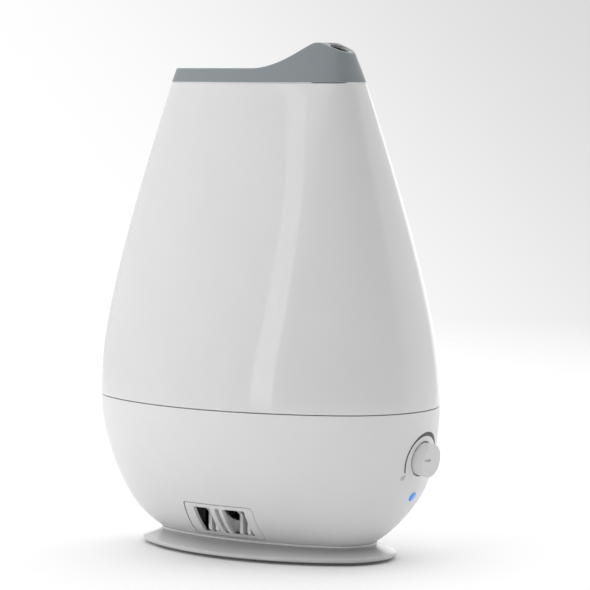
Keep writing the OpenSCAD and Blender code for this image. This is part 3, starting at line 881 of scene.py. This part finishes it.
def scale_rows():
    """Rows of the crescent scale, which widens towards its end and has rounded ends."""
    rows = []
    for k in range(SCALE_STEPS + 1):
        t = k / SCALE_STEPS
        angle = math.radians(SCALE_START + (SCALE_END - SCALE_START) * t)
        wide = SCALE_THIN + (SCALE_WIDE - SCALE_THIN) * smooth_step((t - 0.3) / 0.5)
        wide *= min(1, 20 * t + 0.6, 4 * (1 - t) + 0.4)
        rows.append([(SCALE_X + (SCALE_R + d) * math.cos(angle), SCALE_Z + (SCALE_R + d) * math.sin(angle))
                     for d in (-wide / 2, 0, wide / 2)])
    return rows


def drop_rows():
    """Rows of the drop mark, round at its start and pointed at its tip."""
    start = Vector(DROP_START)
    tip = Vector(DROP_TIP)
    across = Vector((start.y - tip.y, tip.x - start.x)).normalized()
    rows = []
    for k in range(DROP_STEPS + 1):
        t = k / DROP_STEPS
        if t < ROUND_SHARE:
            w = DROP_R * math.sqrt(1 - (1 - t / ROUND_SHARE) ** 2)
        else:
            w = DROP_R * ((1 - t) / (1 - ROUND_SHARE)) ** DROP_TAPER
        w = max(w, DROP_THIN)
        middle = start.lerp(tip, t)
        rows.append([tuple(middle + across * d) for d in (-w, 0, w)])
    return rows


def prints(wall):
    """The crescent scale round the knob and the drop mark at its start."""
    tree = tree_of(wall)
    print_mark("scale_print", scale_rows(), tree, "ink")
    print_mark("drop_print", drop_rows(), tree, "ink_pale")


# ---- Lid ----

# Y of the rise's rear end, of the crest and of the start of the straight slope, and the nozzle's plug in Z
RISE_Y = -1
CREST_Y = -41.5
SLOPE_Y = -47
PLUG_LOW = 276
PLUG_TOP = 288
LID_LEVELS = 64
LID_ROWS = 12
EDGE_ROWS = 5


def crest_line():
    """The lid's top in side view, as (Y, Z) from the rear."""
    slope = math.tan(OUTLET_TILT)
    slope_z = OUTLET.z + (SLOPE_Y - OUTLET.y) * slope
    points = [(110, LID_TOP)]
    points += curve([(RISE_Y, LID_TOP), (-23.5, LID_TOP), (-36, CREST_Z), (CREST_Y, CREST_Z)], 60)
    bend = [(CREST_Y, CREST_Z), (-43.7, CREST_Z), (-44.8, slope_z + 2.2 * slope), (SLOPE_Y, slope_z)]
    points += curve(bend, 20)[1:]
    points.append((SLOPE_Y - 63, slope_z - 63 * slope))
    return [tuple(p) for p in points]


CREST_LINE = crest_line()


def top_at(y):
    """Height of the lid's top at Y."""
    for (y1, z1), (y0, z0) in zip(CREST_LINE, CREST_LINE[1:]):
        if y >= y0:
            return z0 + (z1 - z0) * (y - y0) / (y1 - y0)
    return CREST_LINE[-1][1]


def lid_columns(inset, drop, fillet):
    """Points up the lid's wall and over its rounded top edge, one column for each point of the outline."""
    n = AROUND
    levels = [tuple(p) for p in curve(LID_CURVE, LID_LEVELS)]
    ovals = [oval(h - inset) for h, _ in levels]
    heights = [z for _, z in levels]

    def wall_point(i, z):
        z = min(max(z, heights[0]), heights[-1] - 1e-6)
        k = max(j for j in range(len(heights) - 1) if heights[j] <= z)
        t = (z - heights[k]) / (heights[k + 1] - heights[k])
        (x0, y0), (x1, y1) = ovals[k][i], ovals[k + 1][i]
        return Vector((x0 + (x1 - x0) * t, y0 + (y1 - y0) * t, z))

    columns = []
    for i in range(n):
        # The wall and the sloping top meet at a height that a few rounds settle
        z = 290.0
        for _ in range(12):
            z = top_at(wall_point(i, z).y) - drop
        rim = wall_point(i, z)
        side = wall_point(i, z - fillet)
        before, after = wall_point(i - 1, z), wall_point((i + 1) % n, z)
        inward = Vector((before.y - after.y, after.x - before.x, 0)).normalized()
        inner = rim + inward * fillet
        inner.z = top_at(inner.y) - drop
        rise = side.z - heights[0]
        column = [wall_point(i, heights[0] + rise * k / LID_ROWS) for k in range(LID_ROWS)]
        columns.append(column + curve([side, rim, inner], EDGE_ROWS))
    return columns


def lid_skin(inset, drop, fillet, first):
    """Points and faces of the lid's outer or inner surface, open below.

    Its first point has the number first, which the faces count from.
    """
    n = AROUND
    columns = lid_columns(inset, drop, fillet)
    rows = len(columns[0])
    verts = [columns[i][k] for k in range(rows) for i in range(n)]
    faces = []
    for k in range(rows - 1):
        a, b = first + k * n, first + (k + 1) * n
        faces += [(a + i, a + (i + 1) % n, b + (i + 1) % n, b + i) for i in range(n)]
    # The top: straight lines across, from the rear tip to the front one
    across = 24
    edge = (rows - 1) * n
    line_before = None
    for r in range(n // 2 + 1):
        right, left = (n // 4 - r) % n, (n // 4 + r) % n
        line = [edge + left]
        if right != left:
            a, b = verts[edge + left], verts[edge + right]
            for k in range(1, across):
                p = a.lerp(b, k / across)
                p.z = top_at(p.y) - drop
                verts.append(p)
                line.append(len(verts) - 1)
        line.append(edge + right)
        line = [first + number for number in line]
        if line_before:
            if len(line_before) == 2:
                faces += [(line_before[0], line[k], line[k + 1]) for k in range(across)]
            elif len(line) == 2:
                faces += [(line_before[k], line[0], line_before[k + 1]) for k in range(across)]
            else:
                faces += [(line_before[k], line[k], line[k + 1], line_before[k + 1]) for k in range(across)]
        line_before = line
    return verts, faces


def top_lid():
    """Hollow lid with a raised front and the outlet's hole in its slope."""
    outer, faces = lid_skin(0, 0, 0.8, 0)
    inner, more = lid_skin(LID_WALL, LID_WALL, 1.2, len(outer))
    n = AROUND
    joint = [(i, (i + 1) % n, len(outer) + (i + 1) % n, len(outer) + i) for i in range(n)]
    obj = make("top_lid_skin", outer + inner, faces + more + joint)
    # The hole's cutter flares at its mouth, which leaves a rounded edge
    flare = [(0, -30), (OUTLET_R, -30), (OUTLET_R, -0.5), (OUTLET_R + 0.12, -0.2), (OUTLET_R + 0.45, 0.02),
             (OUTLET_R + 0.5, 8), (0, 8)]
    combine(obj, place(lathe("mouth", flare, 96), AT_OUTLET))
    return stand_for(obj, "top_lid")


def mist_nozzle():
    """Elbow from the mist tube to the lid's outlet."""
    lining = [(0, -13), (OUTLET_R - 0.05, -13), (OUTLET_R - 0.05, -0.4), (0, -0.4)]
    tilted = place(lathe("mist_nozzle_skin", rounded(lining, [0, 0, 0.2, 0]), 96), AT_OUTLET)
    plug_r = high("mist_nozzle").x
    plug = [(0, PLUG_LOW), (plug_r, PLUG_LOW), (plug_r, PLUG_TOP), (0, PLUG_TOP)]
    upright = lathe("plug", rounded(plug, [0, 0.6, 1, 0]), 96)
    combine(tilted, place(upright, AT_TUBE), "UNION")
    combine(tilted, place(prism("bore", circle(OUTLET_R - 0.65, 96), -18, 18), AT_OUTLET))
    inlet = prism("inlet", circle(plug_r - 1.4, 96), PLUG_LOW - 1, PLUG_TOP - 1.5)
    combine(tilted, place(inlet, AT_TUBE))
    return stand_for(tilted, "mist_nozzle")


# ---- Rear inlet, pads and fasteners ----


def joined(name, parts):
    """One mesh object from several."""
    bm = bmesh.new()
    for part in parts:
        bm.from_mesh(part.data)
        bpy.data.objects.remove(part)
    mesh = bpy.data.meshes.new(name)
    bm.to_mesh(mesh)
    bm.free()
    obj = bpy.data.objects.new(name, mesh)
    bpy.context.scene.collection.objects.link(obj)
    return clean(obj)


def cord_gland():
    """Flanged bush in the back wall, with an open bore for the cord."""
    start, end = low("cord_gland").y, high("cord_gland").y
    flange_r = high("cord_gland").x
    flange_start = end - 2.2
    bore = 3.6
    outline = [(bore, start), (GLAND_R, start), (GLAND_R, flange_start), (flange_r, flange_start),
               (flange_r, end), (bore, end)]
    obj = lathe("cord_gland_skin", rounded(outline, [0.2, 0.5, 0.2, 0.5, 1.2, 0.8]), 96)
    return stand_for(place(obj, AT_GLAND), "cord_gland")


def rubber_feet():
    """Four dimpled pads, each with a stub up into the foot."""
    stub_top = PAD_H + 1.8
    outline = [(0, 0), (5, 0), (5.6, PAD_H), (PAD_STUB_R, PAD_H), (PAD_STUB_R, stub_top), (0, stub_top)]
    pads = []
    for x, y in PADS:
        pad = lathe("pad", rounded(outline, [0, 0.6, 0.1, 0, 0.3, 0]), 48)
        combine(pad, prism("dimple", circle(1.2, 24), -1, 0.6))
        pads.append(place(pad, at(x, y, 0)))
    return stand_for(joined("rubber_feet_skin", pads), "rubber_feet")


SCREW_Z = 6.2
SCREW_PITCH = 0.8


def screw(r, length, head_r, head_h):
    """Cross-head screw: head below Z 0, threaded shank above."""
    outline = [(0, -head_h), (head_r, -head_h * 0.35), (head_r, 0), (r, 0)]
    turns = int(length / SCREW_PITCH)
    for k in range(turns):
        z = 0.4 + (length - 0.9) * k / turns
        outline += [(r * 0.82, z), (r, z + 0.3)]
    outline += [(r * 0.5, length), (0, length)]
    obj = lathe("screw", outline, 32)
    long, wide = head_r * 0.6, r * 0.18
    for turn in (0, 90):
        bar = prism("recess", [(-long, -wide), (long, -wide), (long, wide), (-long, wide)],
                    -head_h - 1, -head_h * 0.35)
        combine(obj, place(bar, at(0, 0, 0, ("Z", turn))))
    return obj


def screws(node, places, **size):
    """Equal screws at several places, for one CAD node."""
    made = [place(screw(**size), m) for m in places]
    return stand_for(joined(node + "_skin", made), node)


# ---- CAD pieces that keep their shape, with rounded edges ----

# Width of the rounding in millimetres
ROUNDED_NODES = {
    "deck": 0.4, "air_hood": 0.6, "tank_floor": 0.4,
    "mist_tube": 0.3, "tank_cap": 0.4, "cap_gasket": 0.3,
    "valve_plunger": 0.3, "valve_seal": 0.3, "float": 0.6,
    "float_cap": 0.3, "float_magnet": 0.2, "gland_nut": 0.3,
    "fan_housing": 0.4, "fan_cover": 0.3, "fan_motor": 0.3,
    "fan_impeller": 0.15, "transducer_ring": 0.3, "transducer_seal": 0.15,
    "heat_sink": 0.15, "power_transistor": 0.3, "transformer": 0.4,
    "driver_board": 0.15, "control_board": 0.15, "control_pot": 0.3,
    "pot_nut": 0.25, "pot_shaft": 0.3,
}


def soften(node, width, segments=2):
    """A copy of a CAD node with its edges rounded; flat faces are merged first."""
    obj = bpy.data.objects.new(node + "_skin", frame["nodes"][node].data.copy())
    bpy.context.scene.collection.objects.link(obj)
    bm = bmesh.new()
    bm.from_mesh(obj.data)
    bmesh.ops.remove_doubles(bm, verts=bm.verts, dist=0.000002)
    bmesh.ops.dissolve_limit(bm, angle_limit=math.radians(0.5), verts=bm.verts, edges=bm.edges)
    bm.to_mesh(obj.data)
    bm.free()
    bevel(obj, width, segments)
    return stand_for(obj, node)


base = base_shell()
tank_shell()
foot()
intake_grille()
control_knob()
led_lens()
prints(base)
top_lid()
mist_nozzle()
cord_gland()
rubber_feet()
screws("base_screws", [at(x, y, SCREW_Z) for x, y in LEGS], r=1.5, length=16, head_r=3.2, head_h=2)
for cad_node, edge_width in ROUNDED_NODES.items():
    soften(cad_node, edge_width)
# CAD nodes without a replacement keep their mesh and get their material
for cad_node, cad_obj in frame["nodes"].items():
    if not cad_obj.hide_render:
        dress(cad_obj, SLOT_OF[cad_node])


# ---- Stage, light and camera ----

# The photo's camera: azimuth from the front, pitch down, pan away from the object's middle, distance and
# height in metres, focal length and sensor width in millimetres
VIEW_AZIMUTH = math.radians(-55.3)
VIEW_PITCH = math.radians(4.67)
VIEW_PAN = math.radians(0.545847)
VIEW_DISTANCE = 1.720
VIEW_HEIGHT = 0.2944
FOCAL_LENGTH = 175.48475
SENSOR_WIDTH = 36

# The floor in metres: its radius, the radii between which it fades out, and the radii between which
# the grey that it has for bounced light goes from the first level to the second
FLOOR_R = 1.6
FLOOR_FADE = (FLOOR_R * 0.35, FLOOR_R * 0.98)
FLOOR_BOUNCE_AT = (0.08, 0.25)
FLOOR_BOUNCE = (0.74, 1.0)
# Elevation, azimuth and width of the strip light in degrees, from its foot up, round a centre in metres
STRIP = [(-11, -97.6, 9.4), (3.3, -96.6, 9.0), (13.6, -94.8, 8.7), (21, -94.3, 8.6), (25.9, -94.2, 8.5),
         (29, -95.4, 9.0), (31.4, -97.8, 9.5), (33.2, -100.8, 10), (34.9, -104.8, 11), (38.5, -112, 12),
         (43, -120, 12)]
STRIP_AWAY = 1.5
STRIP_CENTRE_Z = 0.16
STRIP_POWER = 2.2
# Light from all round: each change has an azimuth, and the cosines from it between which it happens.
# It is dark on the camera's side, brighter at the rim of the far side and weaker at the back
DARK_AZIMUTH = -37
DARK_COSINES = (0.445, 0.645)
LIGHT_LEVEL = 0.98
DARK_LEVEL = 0.09
RIM_AZIMUTH = 112
RIM_COSINES = (0.90, 0.96)
RIM_LEVEL = 2.0
BACK_AZIMUTH = 125
BACK_COSINES = (0.5, 0.9)
BACK_LEVEL = 0.7
HORIZON_LEVEL = 0.75
ZENITH_LEVEL = 1.44
ZENITH_COSINES = (0, 0.8)
# The backdrop that the camera sees turns slightly grey towards the picture's upper right
BACKDROP_AZIMUTH = 80
BACKDROP_ELEVATION = 30
BACKDROP_COSINES = (0.55, 0.72)
BACKDROP_LEVELS = (1.0, 0.68)


def compass(azimuth, elevation):
    """Unit vector away from the object at an azimuth and elevation in degrees."""
    a, e = math.radians(azimuth), math.radians(elevation)
    return Vector((math.sin(a) * math.cos(e), -math.cos(a) * math.cos(e), math.sin(e)))


def camera():
    """Camera at the photo's place, with the object a little off the picture's middle."""
    data = bpy.data.cameras.new("camera")
    data.sensor_width = SENSOR_WIDTH
    data.lens = FOCAL_LENGTH
    data.clip_start, data.clip_end = 0.05, 30
    obj = bpy.data.objects.new("camera", data)
    x = math.sin(VIEW_AZIMUTH) * VIEW_DISTANCE
    y = -math.cos(VIEW_AZIMUTH) * VIEW_DISTANCE
    obj.location = (x, y, VIEW_HEIGHT)
    obj.rotation_euler = (math.pi / 2 - VIEW_PITCH, 0, VIEW_AZIMUTH - VIEW_PAN)
    bpy.context.scene.collection.objects.link(obj)
    bpy.context.scene.camera = obj


def stage_floor():
    """Pale floor that fades out well away from the object, so no horizon shows."""
    obj = make("studio_floor", [(x / MM, y / MM, 0) for x, y in circle(FLOOR_R, 96)], [tuple(range(96))])
    s = Surface("paper_white", (0.95, 0.95, 0.95), 0.8, Emission_Strength=0.03)
    s.tint(s.spread(s.noise(3, 3), 0, 1), (0.94, 0.94, 0.945))
    s.wear(s.noise(40, 3), 0.05)
    s.bump(s.noise(900, 3), 0.02)
    length = s.node("ShaderNodeVectorMath", operation="LENGTH")
    s.link(s.place, length.inputs[0])
    clear = s.node("ShaderNodeBsdfTransparent")
    # A greyer floor for light on its way to the part keeps its underside in shade
    grey = s.node("ShaderNodeBsdfDiffuse")
    s.link(s.spread(length.outputs["Value"], *FLOOR_BOUNCE, *FLOOR_BOUNCE_AT), grey.inputs["Color"])
    bounce = s.node("ShaderNodeMixShader")
    s.link(s.node("ShaderNodeLightPath").outputs["Is Diffuse Ray"], bounce.inputs[0])
    s.link(s.shader.outputs[0], bounce.inputs[1])
    s.link(grey.outputs[0], bounce.inputs[2])
    mix = s.node("ShaderNodeMixShader")
    s.link(s.spread(length.outputs["Value"], 0, 1, *FLOOR_FADE), mix.inputs[0])
    s.link(bounce.outputs[0], mix.inputs[1])
    s.link(clear.outputs[0], mix.inputs[2])
    s.link(mix.outputs[0], s.tree.nodes["Material Output"].inputs["Surface"])
    obj.data.materials.append(s.material)


def strip_light():
    """Tall narrow light that the tank mirrors: its azimuth bends a little with height."""
    centre = Vector((0, 0, STRIP_CENTRE_Z))
    left, right = [], []
    for elevation, azimuth, wide in STRIP:
        for side, line in ((-1, left), (1, right)):
            line.append(compass(azimuth + side * wide / 2, elevation) * STRIP_AWAY + centre)
    n = len(STRIP)
    faces = [(k, k + 1, n + k + 1, n + k) for k in range(n - 1)]
    obj = make("strip_light", [v / MM for v in left + right], faces)
    material = bpy.data.materials.new("strip_light")
    material.use_nodes = True
    tree = material.node_tree
    tree.nodes.remove(tree.nodes["Principled BSDF"])
    glow = tree.nodes.new("ShaderNodeEmission")
    glow.inputs["Strength"].default_value = STRIP_POWER
    tree.links.new(glow.outputs[0], tree.nodes["Material Output"].inputs["Surface"])
    obj.data.materials.append(material)
    obj.visible_camera = False
    obj.visible_shadow = False


def studio():
    """Soft light from all round, weaker on the camera's side; the camera itself sees a pale backdrop."""
    world = bpy.data.worlds.new("studio")
    world.use_nodes = True
    tree = world.node_tree
    tree.nodes.clear()
    link = tree.links.new

    def node(kind, **settings):
        made = tree.nodes.new(kind)
        for key, value in settings.items():
            setattr(made, key, value)
        return made

    direction = node("ShaderNodeTexCoord").outputs["Generated"]

    def along(azimuth, elevation, cosines, start_level, end_level):
        """Brightness that changes between two cosines from a compass direction."""
        dot = node("ShaderNodeVectorMath", operation="DOT_PRODUCT")
        dot.inputs[1].default_value = compass(azimuth, elevation)
        link(direction, dot.inputs[0])
        ramp = node("ShaderNodeMapRange", interpolation_type="SMOOTHSTEP")
        limits = {"From Min": cosines[0], "From Max": cosines[1], "To Min": start_level, "To Max": end_level}
        for key, number in limits.items():
            ramp.inputs[key].default_value = number
        link(dot.outputs["Value"], ramp.inputs["Value"])
        return ramp.outputs["Result"]

    def product(first, second):
        times = node("ShaderNodeMath", operation="MULTIPLY")
        link(first, times.inputs[0])
        link(second, times.inputs[1])
        return times.outputs[0]

    lit = node("ShaderNodeBackground")
    seen = node("ShaderNodeBackground")
    for background in (lit, seen):
        background.inputs["Color"].default_value = (1, 1, 1, 1)
    level = product(along(DARK_AZIMUTH, 0, DARK_COSINES, LIGHT_LEVEL, DARK_LEVEL),
                    along(RIM_AZIMUTH, 0, RIM_COSINES, 1, RIM_LEVEL))
    # The back is weaker only as a light, not as something the gloss mirrors
    path = node("ShaderNodeLightPath")
    back = node("ShaderNodeMix")
    back.inputs["A"].default_value = 1
    link(path.outputs["Is Diffuse Ray"], back.inputs["Factor"])
    link(along(BACK_AZIMUTH, 0, BACK_COSINES, 1, BACK_LEVEL), back.inputs["B"])
    dimmed = product(level, back.outputs["Result"])
    from_above = product(dimmed, along(0, 90, ZENITH_COSINES, HORIZON_LEVEL, ZENITH_LEVEL))
    link(from_above, lit.inputs["Strength"])
    backdrop = along(BACKDROP_AZIMUTH, BACKDROP_ELEVATION, BACKDROP_COSINES, *BACKDROP_LEVELS)
    link(backdrop, seen.inputs["Strength"])
    mix = node("ShaderNodeMixShader")
    link(path.outputs["Is Camera Ray"], mix.inputs[0])
    link(lit.outputs[0], mix.inputs[1])
    link(seen.outputs[0], mix.inputs[2])
    link(mix.outputs[0], node("ShaderNodeOutputWorld").inputs["Surface"])
    bpy.context.scene.world = world
    bpy.context.scene.view_settings.view_transform = "Standard"


camera()
stage_floor()
strip_light()
studio()
